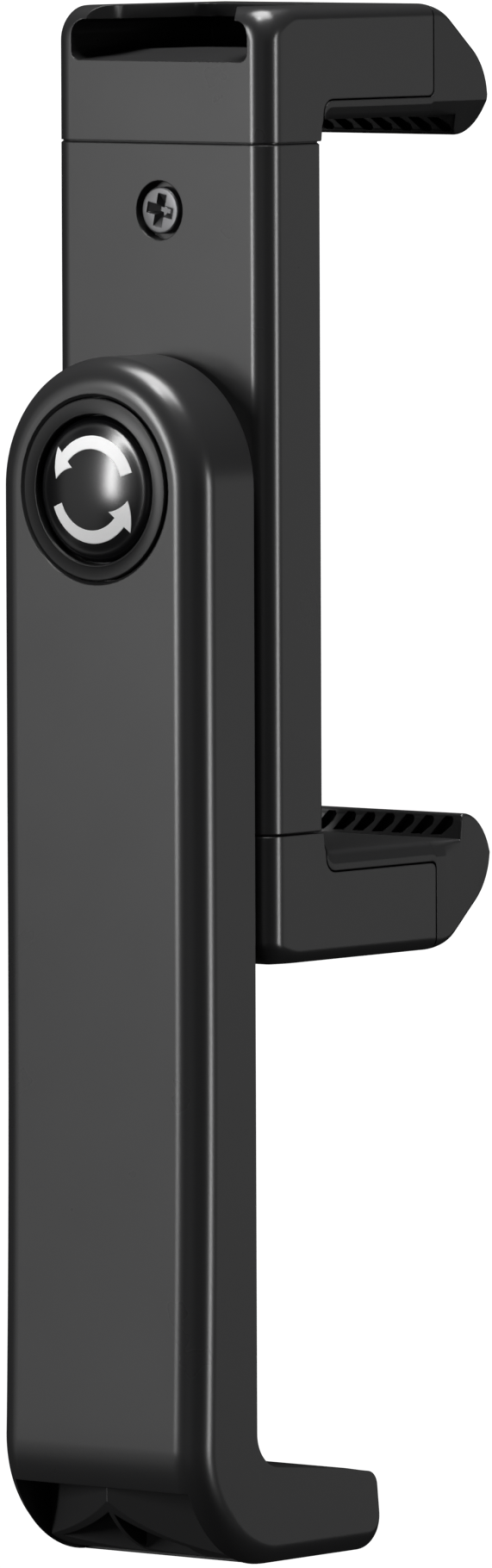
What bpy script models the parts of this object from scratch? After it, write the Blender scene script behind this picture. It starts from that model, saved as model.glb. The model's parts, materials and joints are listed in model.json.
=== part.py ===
"""Rotating phone clamp head for a selfie stick or tripod.

An L-shaped arm stands on its foot, which holds a brass 1/4"-20 insert.  A spring clamp turns on a
screw through the top of the arm.  Its upper jaw is fixed and carries an accessory shoe, and its
lower jaw slides down out of a sleeve against two extension springs.

Lengths are in millimetres and are scaled to metres when a mesh is made.  +Z is up, -Y is the back,
where the arm and its round cap are, and the jaws reach towards +Y.  Shapes are drawn about a plane
near the middle of the sleeve, and every mesh is then moved back by DEPTH_CENTRE, so that the origin
is the bottom centre of the whole clamp head, level with the foot's flat underside.
"""

import math

import bmesh
import bpy
from mathutils import Vector
from mathutils.geometry import interpolate_bezier

MM = 0.001
DEPTH_CENTRE = Vector((0, 6.455, 0))  # half-way between the cap's dome and the lower jaw's tip
FIT = 0.1  # gap round a piece that is seated in another
SEAM = 0.2  # gap that shows as a parting line

# Arm
ARM_WIDTH = 21.76
ARM_BACK = -12.0
ARM_FRONT = -4.6
ARM_EDGE = 2.56  # rounding of its back edges
ARM_WALL = 1.6
ARM_FLARE = 0.5  # how far the back leans out above the bend
FLARE_TOP = 50.0
PIVOT_Z = 89.0
BEND_RADIUS = 10.2
BEND_CENTRE = (-2.3, 10.2)
FILLET_RADIUS = 3.0
FILLET_CENTRE = (-1.6, 11.1)
FOOT_EDGE = 1.7  # rounding of the foot's lower edges
FOOT_SLOPE = math.tan(math.radians(5.8))
FOOT_TIP_RADII = (1.4, 1.5)  # upper and lower
FOOT_TIP_UPPER = (9.75, 5.35)
FOOT_TIP_LOWER = (10.1, 1.5)
WINDOW_TOP = 6.6
WINDOW_FRONT = -2.6
THREAD_Y = 4.5  # the tripod thread is in the middle of the flat underside
INSERT_RADIUS = 4.3
COVER_OPENING = (14.0, 77.0)
COVER_THICKNESS = 1.5
COVER_SCREWS = (24.0, 68.0)

# Cap and pivot stack, along Y on the pivot axis
CAP_RECESS = 7.65
CAP_FLOOR = -10.6
RING_RADII = (6.25, 7.5)
DOME_RADIUS = 6.05
DOME_APEX = -12.75
STACK_BORE = 5.0
STACK_FLOOR = -6.6
SCREW_RADIUS = 2.0
SCREW_HEAD = 4.2
NUT_FLATS = 7.0

# Clamp
CLAMP_WIDTH = 23.0
CLAMP_BACK = -3.47
CLAMP_FRONT = 3.63
CLAMP_EDGE = 1.87
CLAMP_WALL = 1.5
CLAMP_SIDE = 1.8
UPPER_SEAM = 117.3
LOWER_SEAM = 60.4
JAW_SCREW_Z = 111.7
JAW_SCREW_RECESS = 2.45
BODY_SCREWS = (76.0, 98.5)

# Jaws: outer is the outside face, tip the foremost point, pad the gripping face
JAW_CORNER = 3.3  # outer rounding at the back
JAW_EDGE = 1.15  # outer rounding along the sides and the nose
JAW_EDGE_START = 2.2  # where the rounding has narrowed to JAW_EDGE
JAW_HARD_END = 18.4
UPPER = {"seam": 117.4, "outer": 128.5, "under": 120.85, "pad": 119.15, "hook": 117.45, "tip": 120.9,
         "tip_y": 25.53, "nose": 17.6}
LOWER = {"seam": 60.3, "outer": 49.65, "under": 56.95, "pad": 58.72, "hook": 60.85, "tip": 57.3,
         "tip_y": 25.66, "nose": 17.4}
HOOK_WALL = 21.8
SLOT_COUNT = 10
SLOT_PITCH = 2.09
SLOT_WIDTH = 1.0
SLOT_DEPTH = 1.1
SLOT_LEAN = 1.15

# Accessory shoe in the top of the upper jaw
SHOE_HALF = 9.4
SHOE_FLOOR = 124.8
SHOE_SILL = 124.0
SHOE_ROOF = 127.4
SHOE_END = 15.0
SHOE_OPENING = 6.3
SHOE_OPENING_END = 10.0
SHOE_RAMP_END = 3.4  # the sill slopes up to the floor from the back face to here
SHOE_MOUTH = 8.0  # half the opening's width at the back face

# Slider and springs
SPRING_X = 6.25
SPRING_COIL = 0.8
SPRING_WIRE = 0.2
SPRING_PINS = (64.0, 112.0)
SPRING_BODY = (67.5, 108.5)
SPRING_PITCH = 2.4
PIN_RADIUS = 0.5
SLIDER_TOP = 104.0


# ---------------------------------------------------------------- scene helpers


def clear_scene():
    for old in list(bpy.data.objects):
        bpy.data.objects.remove(old, do_unlink=True)


def make_material(name, colour, roughness, metallic=0.0):
    made = bpy.data.materials.new(name)
    made.use_nodes = True
    shader = made.node_tree.nodes["Principled BSDF"]
    shader.inputs["Base Color"].default_value = (*colour, 1.0)
    shader.inputs["Roughness"].default_value = roughness
    shader.inputs["Metallic"].default_value = metallic
    made.diffuse_color = (*colour, 1.0)
    return made


def make_empty(name, place, parent=None):
    empty = bpy.data.objects.new(name, None)
    empty.empty_display_size = 5 * MM
    bpy.context.scene.collection.objects.link(empty)
    empty.location = (Vector(place) - DEPTH_CENTRE) * MM
    if parent:
        empty.parent = parent
        empty.location -= parent.location
    bpy.context.view_layer.update()
    return empty


def make_object(name, shape, material=None, parent=None):
    """One closed mesh from (points, faces) in millimetres, its faces turned outwards."""
    points, faces = shape
    build = bmesh.new()
    corners = [build.verts.new((Vector(point) - DEPTH_CENTRE) * MM) for point in points]
    for face in faces:
        build.faces.new([corners[index] for index in face])
    bmesh.ops.remove_doubles(build, verts=build.verts, dist=1e-7)
    bmesh.ops.recalc_face_normals(build, faces=build.faces)
    mesh = bpy.data.meshes.new(name)
    build.to_mesh(mesh)
    build.free()
    mesh.shade_smooth()
    mesh.set_sharp_from_angle(angle=math.radians(35))
    made = bpy.data.objects.new(name, mesh)
    bpy.context.scene.collection.objects.link(made)
    if material:
        mesh.materials.append(material)
    if parent:
        made.parent = parent
        made.matrix_parent_inverse = parent.matrix_world.inverted()
    return made


def change(target, name, shape, operation):
    """Cuts a shape from the target, or joins it on, with a Boolean whose other half stays hidden."""
    tool = make_object(f"{target.name}_{name}", shape, parent=target.parent)
    tool.hide_render = True
    tool.display_type = "WIRE"
    step = target.modifiers.new(name, "BOOLEAN")
    step.operation = operation
    step.solver = "EXACT"
    step.object = tool


def cut(target, name, shape):
    change(target, name, shape, "DIFFERENCE")


def join(target, name, shape):
    change(target, name, shape, "UNION")


# ---------------------------------------------------------------- shape helpers


def arc(centre, radius, start, end, steps):
    """Points on an arc in a plane, with angles in degrees."""
    return [
        (
            centre[0] + radius * math.cos(math.radians(start + (end - start) * step / steps)),
            centre[1] + radius * math.sin(math.radians(start + (end - start) * step / steps)),
        )
        for step in range(steps + 1)
    ]


def loft(rings):
    """A skin over closed rings of equally many points, with both ends filled."""
    count = len(rings[0])
    points = [point for ring in rings for point in ring]
    faces = [tuple(range(count))]
    faces.append(tuple(range((len(rings) - 1) * count, len(rings) * count)))
    for level in range(len(rings) - 1):
        for side in range(count):
            after = (side + 1) % count
            low, high = level * count, (level + 1) * count
            faces.append((low + side, low + after, high + after, high + side))
    return points, faces


def prism(outline, axis, low, high):
    """A flat outline pulled along X, Y or Z.  Its two numbers are the other two axes, in order."""
    def place(point, depth):
        first, second = point
        return {"X": (depth, first, second), "Y": (first, depth, second), "Z": (first, second, depth)}[axis]

    return loft([[place(point, depth) for point in outline] for depth in (low, high)])


def block(low, high):
    (x0, y0, z0), (x1, y1, z1) = low, high
    return prism([(x0, y0), (x1, y0), (x1, y1), (x0, y1)], "Z", z0, z1)


def rounded_rectangle(low, high, radius, steps=4):
    (a0, b0), (a1, b1) = low, high
    corners = [(a1, b1, 0), (a0, b1, 90), (a0, b0, 180), (a1, b0, 270)]
    outline = []
    for a, b, start in corners:
        centre = (a - math.copysign(radius, a - (a0 + a1) / 2), b - math.copysign(radius, b - (b0 + b1) / 2))
        outline += arc(centre, radius, start, start + 90, steps)
    return outline


def turned(profile, centre, axis="Y", steps=32):
    """A profile of (radius, place along the axis) turned round an axis.

    A profile that never meets the axis is taken as a closed loop.
    """
    turns = [2 * math.pi * step / steps for step in range(steps)]
    points, index = [], []
    for radius, along in profile:
        row = []
        for turn in turns[: 1 if radius == 0 else steps]:
            a, b = radius * math.cos(turn), radius * math.sin(turn)
            offset = {"X": (along, a, b), "Y": (a, along, b), "Z": (a, b, along)}[axis]
            row.append(len(points))
            points.append(tuple(c + o for c, o in zip(centre, offset)))
        index.append(row)
    closed = all(radius > 0 for radius, _ in profile)
    pairs = list(zip(index, index[1:])) + ([(index[-1], index[0])] if closed else [])
    faces = []
    for first, second in pairs:
        for step in range(steps):
            after = (step + 1) % steps
            corners = [first[step % len(first)], first[after % len(first)]]
            corners += [second[after % len(second)], second[step % len(second)]]
            faces.append(tuple(dict.fromkeys(corners)))
    return points, faces


def cylinder(centre, radius, axis, low, high, steps=24):
    return turned([(0, low), (radius, low), (radius, high), (0, high)], centre, axis, steps)


def washer(radii, low, high, steps=32):
    inner, outer = radii
    profile = [(inner, low), (outer, low), (outer, high), (inner, high)]
    return turned(profile, (0, 0, PIVOT_Z), "Y", steps)


def section(outer, inner, half, radius, steps):
    """A cross-section between an outer and an inner (y, z) point, with its two outer corners rounded."""
    outer, inner = Vector(outer), Vector(inner)
    inward = (inner - outer).normalized()
    ring = [(-half, *inner)]
    for step in range(steps + 1):
        turn = math.radians(90 * step / steps)
        place = outer + inward * radius * (1 - math.sin(turn))
        ring.append((-half + radius * (1 - math.cos(turn)), *place))
    ring += [(-x, y, z) for x, y, z in reversed(ring)]
    return ring


def bezier(start, handle, other_handle, end, count):
    """Points on a curve in the YZ plane."""
    corners = [Vector((0, *point)) for point in (start, handle, other_handle, end)]
    return [(point.y, point.z) for point in interpolate_bezier(*corners, count)]


def swept_wire(path, radius, sides):
    """A round wire along a path of points, its frame carried from point to point without twist."""
    path = [Vector(point) for point in path]
    rings, across = [], None
    for index, point in enumerate(path):
        ahead = path[min(index + 1, len(path) - 1)] - path[max(index - 1, 0)]
        ahead.normalize()
        across = ahead.orthogonal() if across is None else across - ahead * across.dot(ahead)
        across.normalize()
        other = ahead.cross(across)
        turns = [2 * math.pi * side / sides for side in range(sides)]
        rings.append([point + (across * math.cos(t) + other * math.sin(t)) * radius for t in turns])
    return loft(rings)


# ---------------------------------------------------------------- arm


def back_of_arm(height):
    lean = max(0.0, FLARE_TOP - height) / (FLARE_TOP - BEND_CENTRE[1])
    return ARM_BACK - ARM_FLARE * lean * lean


def top_of_foot(y):
    root = FILLET_CENTRE[1] - FILLET_RADIUS
    return root - FOOT_SLOPE * (y - FILLET_CENTRE[0])


def arm_stations(bend_steps=7):
    """(outer point, inner point, rounding) down the arm, round the bend and out along the foot."""
    stations = [((back_of_arm(z), z), (ARM_FRONT, z), ARM_EDGE) for z in (PIVOT_Z, FLARE_TOP, 36.0, 23.0)]
    inner_turn = 90 - math.degrees(math.atan(FOOT_SLOPE))
    outer = arc(BEND_CENTRE, BEND_RADIUS, 180, 270, bend_steps)
    inner = arc(FILLET_CENTRE, FILLET_RADIUS, 180, 180 + inner_turn, bend_steps)
    for step, (behind, ahead) in enumerate(zip(outer, inner)):
        share = max(0.0, 2 * step / bend_steps - 1)
        stations.append((behind, ahead, ARM_EDGE + (FOOT_EDGE - ARM_EDGE) * share))
    stations += [((y, 0.0), (y, top_of_foot(y)), FOOT_EDGE) for y in (3.0, 7.0)]
    lower = arc(FOOT_TIP_LOWER, FOOT_TIP_RADII[1], 270, 360, 4)
    upper = arc(FOOT_TIP_UPPER, FOOT_TIP_RADII[0], 90, 0, 4)
    stations += [(below, above, FOOT_EDGE) for below, above in zip(lower, upper)]
    return stations


def arm_outer(edge_steps=5, top_steps=20):
    """The arm's outer skin: a lofted L, closed at the top by a half disc round the pivot."""
    half = ARM_WIDTH / 2
    rings = [section(outer, inner, half, radius, edge_steps) for outer, inner, radius in arm_stations()]
    points, faces = loft(rings)
    faces.pop(0)
    count = len(rings[0])
    half_ring = rings[0][: count // 2]
    bands = [list(range(count // 2))]
    for step in range(1, top_steps):
        turn = math.pi * step / top_steps
        band = []
        for x, y, _ in half_ring:
            band.append(len(points))
            points.append((x * math.cos(turn), y, PIVOT_Z - x * math.sin(turn)))
        bands.append(band)
    bands.append([count - 1 - index for index in range(count // 2)])
    for near, far in zip(bands, bands[1:]):
        for index in range(count // 2 - 1):
            faces.append((near[index], near[index + 1], far[index + 1], far[index]))
    faces.append(tuple(band[0] for band in bands))
    faces.append(tuple(band[-1] for band in bands))
    return points, faces


def arm_cavity():
    """The hollow inside the arm and its foot, open at the front where the inner cover goes."""
    low, high = COVER_OPENING
    inner_arc = arc(BEND_CENTRE, BEND_RADIUS - ARM_WALL, 180, 270, 7)
    front_arc = arc(FILLET_CENTRE, FILLET_RADIUS + ARM_WALL, 264, 180, 5)
    outline = [(ARM_FRONT + 1, high), (ARM_BACK + ARM_WALL, high), (ARM_BACK + ARM_WALL, FLARE_TOP)]
    outline += inner_arc
    outline += [(FOOT_TIP_LOWER[0], ARM_WALL), (FOOT_TIP_UPPER[0], top_of_foot(FOOT_TIP_UPPER[0]) - ARM_WALL)]
    outline += front_arc
    outline += [(ARM_FRONT - ARM_WALL, low), (ARM_FRONT + 1, low)]
    half = ARM_WIDTH / 2 - ARM_WALL
    return prism(outline, "X", -half, half)


def arm_window():
    """The opening in the skin at the outside of the bend, between the two side walls."""
    outline = [(-14.0, WINDOW_TOP), (-9.5, WINDOW_TOP), (WINDOW_FRONT, 2.2)]
    outline += [(WINDOW_FRONT, -1.0), (-14.0, -1.0)]
    half = ARM_WIDTH / 2 - ARM_WALL
    return prism(outline, "X", -half, half)


def pivot_bore():
    """The cap's recess, the bore that holds the screw head and washers, and the screw's hole."""
    profile = [(0, -14.0), (CAP_RECESS, -14.0), (CAP_RECESS, CAP_FLOOR), (STACK_BORE, CAP_FLOOR)]
    profile += [(STACK_BORE, STACK_FLOOR), (SCREW_RADIUS + 0.25, STACK_FLOOR)]
    profile += [(SCREW_RADIUS + 0.25, ARM_FRONT + 1), (0, ARM_FRONT + 1)]
    return turned(profile, (0, 0, PIVOT_Z))


def make_arm_shell(plastic):
    shell = make_object("arm_shell", arm_outer(), plastic)
    cut(shell, "cavity", arm_cavity())
    cut(shell, "window", arm_window())
    cut(shell, "pivot_bore", pivot_bore())
    cut(shell, "thread_mouth", cylinder((0, THREAD_Y, 0), INSERT_RADIUS + 0.5, "Z", -1.0, ARM_WALL + 0.5))
    for number, height in enumerate(COVER_SCREWS):
        boss = (0, 0, height)
        join(shell, f"boss_{number}", cylinder(boss, 2.4, "Y", back_of_arm(height) + 1.0, -6.3, 16))
        cut(shell, f"pilot_{number}", cylinder(boss, 0.85, "Y", -9.8, -5.0, 12))
    return shell


def make_arm_cover(plastic):
    low, high = COVER_OPENING
    half = ARM_WIDTH / 2 - ARM_WALL - SEAM
    outline = rounded_rectangle((-half, low + SEAM), (half, high - SEAM), 0.6, 2)
    plate = prism(outline, "Y", ARM_FRONT - COVER_THICKNESS, ARM_FRONT)
    cover = make_object("arm_inner_cover", plate, plastic)
    for number, height in enumerate(COVER_SCREWS):
        sink = [(0, -6.6), (1.1, -6.6), (1.1, -5.5), (2.1, -4.5), (2.1, -4.0), (0, -4.0)]
        cut(cover, f"screw_hole_{number}", turned(sink, (0, 0, height), "Y", 20))


def countersunk_screw(name, height, face, length, steel, parent=None):
    """A small self-tapping screw along Y with its head towards +Y, and a cross slot."""
    profile = [(0, face - length), (0.75, face - length + 0.4), (0.75, face - 1.0), (1.75, face)]
    profile += [(0, face)]
    screw = make_object(name, turned(profile, (0, 0, height), "Y", 16), steel, parent)
    for number, (wide, tall) in enumerate(((1.0, 0.2), (0.2, 1.0))):
        slot = block((-wide, face - 0.5, height - tall), (wide, face + 1, height + tall))
        cut(screw, f"slot_{number}", slot)


def make_foot_core(plastic, brass):
    """The ribbed block in the foot: a V of two slanting walls, a middle rib, and the insert's boss."""
    plan = [(0.8, -11.2), (9.0, -5.9), (9.0, -4.9), (7.0, -3.8), (7.0, 9.5)]
    plan += [(-x, y) for x, y in reversed(plan)]
    side = [(9.5, 1.8), (9.5, 5.0), (-1.9, 6.1), (-3.5, 6.6), (-5.4, 8.0), (-10.1, 8.0), (-10.1, 6.4)]
    side += arc(BEND_CENTRE, BEND_RADIUS - 0.25, 202.5, 266, 7)
    side += [(WINDOW_FRONT - 0.15, 1.8)]
    core = make_object("foot_core", prism(plan, "Z", -2.0, 12.0), plastic)
    change(core, "side_profile", prism(side, "X", -12.0, 12.0), "INTERSECT")
    right = [(0.2, -10.2), (5.2, -7.3), (5.2, -6.9), (2.0, -6.9), (0.8, -7.4), (0.2, -8.4)]
    left = [(-1.0, -10.0), (-1.0, -3.2), (-5.8, -3.2), (-8.0, -5.6)]
    cut(core, "right_pocket", prism(right, "Z", -1.0, 6.4))
    cut(core, "left_pocket", prism(left, "Z", -1.0, 6.4))
    axis = (0, THREAD_Y, 0)
    cut(core, "insert_bore", cylinder(axis, INSERT_RADIUS + FIT, "Z", -1.0, 9.0, 28))
    outer, groove, inner = INSERT_RADIUS, INSERT_RADIUS - 0.4, 2.55
    profile = [(inner, 0.3), (outer, 0.3), (outer, 2.2), (groove, 2.6), (groove, 3.0), (outer, 3.4)]
    profile += [(outer, 5.0), (inner, 5.0)]
    make_object("thread_insert", turned(profile, axis, "Z", 28), brass)


def make_cap(ring_plastic, gloss_plastic):
    inner, outer = RING_RADII
    ring = [(inner, CAP_FLOOR - 0.3), (outer, CAP_FLOOR - 0.3), (outer, -12.0), (outer - 0.2, -12.2)]
    ring += [(inner + 0.25, -12.25), (inner, -12.1)]
    make_object("cap_ring", turned(ring, (0, 0, PIVOT_Z), "Y", 40), ring_plastic)
    dome = [(0, CAP_FLOOR - 0.3), (DOME_RADIUS, CAP_FLOOR - 0.3), (DOME_RADIUS, -12.0)]
    rise = ARM_BACK - DOME_APEX
    for step in range(1, 5):
        share = math.cos(math.radians(90 * step / 5))
        dome.append((DOME_RADIUS * share, ARM_BACK - rise * (1 - share * share)))
    dome.append((0, DOME_APEX))
    make_object("cap_dome", turned(dome, (0, 0, PIVOT_Z), "Y", 40), gloss_plastic)


# ---------------------------------------------------------------- pivot stack


def make_pivot(steel, spring_steel, friction, clamp):
    shank_end = 1.3
    profile = [(0, -10.4), (SCREW_HEAD - 0.6, -10.4), (SCREW_HEAD, -10.0), (SCREW_HEAD, -8.6)]
    profile += [(SCREW_RADIUS, -8.6), (SCREW_RADIUS, shank_end), (0, shank_end)]
    screw = make_object("pivot_screw", turned(profile, (0, 0, PIVOT_Z), "Y", 24), steel, clamp)
    turns = [math.radians(60 * step) for step in range(6)]
    socket = [(1.5 * math.cos(turn), PIVOT_Z + 1.5 * math.sin(turn)) for turn in turns]
    cut(screw, "hex_socket", prism(socket, "Y", -11.0, -9.2))
    bore = SCREW_RADIUS + 0.3
    make_object("spring_washer", washer((bore, 4.1), -8.3, -7.7, 24), spring_steel, clamp)
    make_object("flat_washer", washer((bore, 4.5), -7.4, -6.8, 24), steel, clamp)
    make_object("friction_disc", washer((bore, 9.0), -4.35, -3.72, 32), friction, clamp)
    nut = make_object("pivot_nut", prism(hexagon(NUT_FLATS), "Y", -1.75, 1.35), steel, clamp)
    cut(nut, "thread", cylinder((0, 0, PIVOT_Z), SCREW_RADIUS + 0.15, "Y", -3.0, 3.0, 24))


def hexagon(flats):
    corner = flats / 2 / math.cos(math.radians(30))
    turns = [math.radians(60 * step) for step in range(6)]
    return [(corner * math.cos(turn), PIVOT_Z + corner * math.sin(turn)) for turn in turns]


# ---------------------------------------------------------------- clamp body


def clamp_outline():
    """The sleeve's outline from above: rounded behind, nearly square in front."""
    half, back = CLAMP_WIDTH / 2, CLAMP_BACK
    outline = arc((half - CLAMP_EDGE, back + CLAMP_EDGE), CLAMP_EDGE, 270, 360, 5)
    outline += arc((half - 0.5, CLAMP_FRONT - 0.5), 0.5, 0, 90, 2)
    return outline + [(-x, y) for x, y in reversed(outline)]


def make_clamp_body(plastic, clamp):
    low, high = LOWER_SEAM + FIT, UPPER_SEAM - FIT
    body = make_object("clamp_body", prism(clamp_outline(), "Z", low, high), plastic, clamp)
    half = CLAMP_WIDTH / 2 - CLAMP_SIDE
    floor = CLAMP_BACK + CLAMP_WALL
    cut(body, "channel", block((-half, floor, low - 1), (half, CLAMP_FRONT + 1, high + 1)))
    join(body, "nut_boss", cylinder((0, 0, PIVOT_Z), 4.9, "Y", floor - 0.5, 1.8, 28))
    cut(body, "nut_pocket", prism(hexagon(NUT_FLATS + 0.3), "Y", floor, 3.0))
    cut(body, "pivot_hole", cylinder((0, 0, PIVOT_Z), SCREW_RADIUS + 0.2, "Y", -5.0, 0.0, 24))
    for number, height in enumerate(BODY_SCREWS):
        join(body, f"boss_{number}", cylinder((0, 0, height), 2.2, "Y", floor - 0.5, 1.9, 16))
        cut(body, f"pilot_{number}", cylinder((0, 0, height), 0.85, "Y", -1.9, 3.0, 12))
    recess = [(0, -4.5), (JAW_SCREW_RECESS, -4.5), (JAW_SCREW_RECESS, -2.4)]
    recess += [(1.15, -2.4), (1.15, -1.0), (0, -1.0)]
    cut(body, "jaw_screw_hole", turned(recess, (0, 0, JAW_SCREW_Z), "Y", 28))
    for number, side in enumerate((-1, 1)):
        place = (side * SPRING_X, 0, SPRING_PINS[1])
        cut(body, f"pin_socket_{number}", cylinder(place, PIN_RADIUS + FIT, "Y", -2.7, 0.0, 12))


def make_front_cover(plastic, rubber, steel, clamp):
    half = CLAMP_WIDTH / 2 - CLAMP_SIDE - SEAM
    inside = CLAMP_FRONT - 1.5
    outline = rounded_rectangle((-half, LOWER_SEAM + SEAM), (half, UPPER_SEAM - SEAM), 0.5, 2)
    cover = make_object("front_cover", prism(outline, "Y", inside, CLAMP_FRONT), plastic, clamp)
    low, high = LOWER_SEAM + 4, UPPER_SEAM - 4
    recess = rounded_rectangle((-6.6, low), (6.6, high), 2.0, 3)
    cut(cover, "pad_recess", prism(recess, "Y", CLAMP_FRONT - 0.6, CLAMP_FRONT + 1))
    face = CLAMP_FRONT - 0.75
    for number, height in enumerate(BODY_SCREWS):
        sink = [(0, 1.0), (0.95, 1.0), (0.95, face - 1.1), (1.95, face - 0.1), (1.95, 5.0), (0, 5.0)]
        cut(cover, f"screw_hole_{number}", turned(sink, (0, 0, height), "Y", 20))
        countersunk_screw(f"cover_screw_{('lower', 'upper')[number]}", height, face, 4.2, steel, clamp)
    pad = rounded_rectangle((-6.5, low + FIT), (6.5, high - FIT), 1.9, 3)
    make_object("backrest_pad", prism(pad, "Y", CLAMP_FRONT - 0.5, CLAMP_FRONT + 0.3), rubber, clamp)


# ---------------------------------------------------------------- jaws


def jaw_sections(jaw, steps=5):
    """Cross-sections of a jaw's hard part, from the rounded back to the end under the nose."""
    half, outward = CLAMP_WIDTH / 2, math.copysign(1, jaw["outer"] - jaw["seam"])
    rings = []
    for step in range(steps + 1):
        turn = math.radians(90 * step / steps)
        y = CLAMP_BACK + CLAMP_EDGE * (1 - math.cos(turn))
        inset = CLAMP_EDGE * (1 - math.sin(turn))
        outer = (y, jaw["outer"] - outward * inset)
        rings.append(section(outer, (y, jaw["seam"]), half - inset, JAW_CORNER - inset, steps))
    root = [(JAW_EDGE_START, jaw["seam"]), (CLAMP_FRONT, jaw["seam"])]
    root += [(CLAMP_FRONT + 0.1, jaw["seam"] + outward * 1.2)]
    root += [(CLAMP_FRONT + 0.4, jaw["pad"]), (CLAMP_FRONT + 0.5, jaw["under"] - outward * 0.3)]
    root += [(CLAMP_FRONT + 0.9, jaw["under"]), (JAW_HARD_END, jaw["under"])]
    for y, inner in root:
        z = nose_height(jaw, y)
        rings.append(section((y, z), (y, inner), half, JAW_EDGE, steps))
    return rings


def nose_curve(jaw, count):
    """The outside of the nose, from where it leaves the flat face to the tip."""
    start, end = (jaw["nose"], jaw["outer"]), (jaw["tip_y"], jaw["tip"])
    reach, rise = end[0] - start[0], end[1] - start[1]
    return bezier(start, (start[0] + 0.29 * reach, start[1]), (end[0], end[1] - 0.33 * rise), end, count)


def nose_height(jaw, y):
    """The outside face's z at a place along the jaw."""
    if y <= jaw["nose"]:
        return jaw["outer"]
    curve = nose_curve(jaw, 60)
    ahead = next(index for index, point in enumerate(curve) if point[0] >= y)
    (y0, z0), (y1, z1) = curve[ahead - 1], curve[ahead]
    return z0 + (z1 - z0) * (y - y0) / (y1 - y0)


def pad_sections(jaw, steps=5):
    """Cross-sections of the rubber boot: a thin pad under the hard part, then the nose with its hook."""
    half, outward = CLAMP_WIDTH / 2, math.copysign(1, jaw["outer"] - jaw["seam"])
    under = jaw["under"] - outward * FIT
    rings = []
    rings.append(section((CLAMP_FRONT + 1.05, under), (CLAMP_FRONT + 0.57, jaw["pad"]), half, 0.1, steps))
    rings.append(section((JAW_HARD_END + FIT, under), (JAW_HARD_END + FIT, jaw["pad"]), half, 0.1, steps))
    start = JAW_HARD_END + FIT + 0.02
    rings.append(section((start, nose_height(jaw, start)), (start, jaw["pad"]), half, JAW_EDGE, steps))
    curve = [point for point in nose_curve(jaw, 12) if point[0] > start + 0.4]
    split = curve[len(curve) // 3]
    rings.append(section(split, (HOOK_WALL - 0.02, jaw["pad"]), half, JAW_EDGE, steps))
    rest = curve[len(curve) // 3:]
    rest[0] = (split[0] + 0.02, nose_height(jaw, split[0] + 0.02))
    tip = (jaw["tip_y"], jaw["tip"])
    drop = jaw["tip"] - jaw["hook"]
    handles = (HOOK_WALL + 1.6, jaw["hook"]), (tip[0], tip[1] - 0.38 * drop)
    hook = bezier((HOOK_WALL + 0.05, jaw["hook"]), *handles, tip, len(rest))
    pairs = list(zip(rest, hook))[:-1]
    pairs.append(((tip[0], tip[1] + outward * 0.3), (tip[0], tip[1] - outward * 0.3)))
    for outer, inner in pairs:
        reach = (Vector(outer) - Vector(inner)).length
        rings.append(section(outer, inner, half, min(JAW_EDGE, 0.45 * reach), steps))
    return rings


def grip_slot(jaw, centre):
    """A slanting slot in the hook's inner wall, leaning to +X away from the pad face."""
    outward = math.copysign(1, jaw["outer"] - jaw["seam"])
    foot, head = jaw["pad"] - outward * 0.25, jaw["hook"] + outward * 0.35
    left = centre - SLOT_WIDTH / 2 - SLOT_LEAN / 2
    outline = [(left, foot), (left + SLOT_WIDTH, foot), (left + SLOT_LEAN + SLOT_WIDTH * 0.75, head)]
    outline += [(left + SLOT_LEAN, head)]
    return prism(outline, "Y", HOOK_WALL - 0.6, HOOK_WALL + SLOT_DEPTH)


def make_pad(name, jaw, rubber, parent):
    pad = make_object(name, loft(pad_sections(jaw)), rubber, parent)
    for number in range(SLOT_COUNT):
        centre = SLOT_PITCH * (number - (SLOT_COUNT - 1) / 2)
        cut(pad, f"slot_{number}", grip_slot(jaw, centre))


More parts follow.
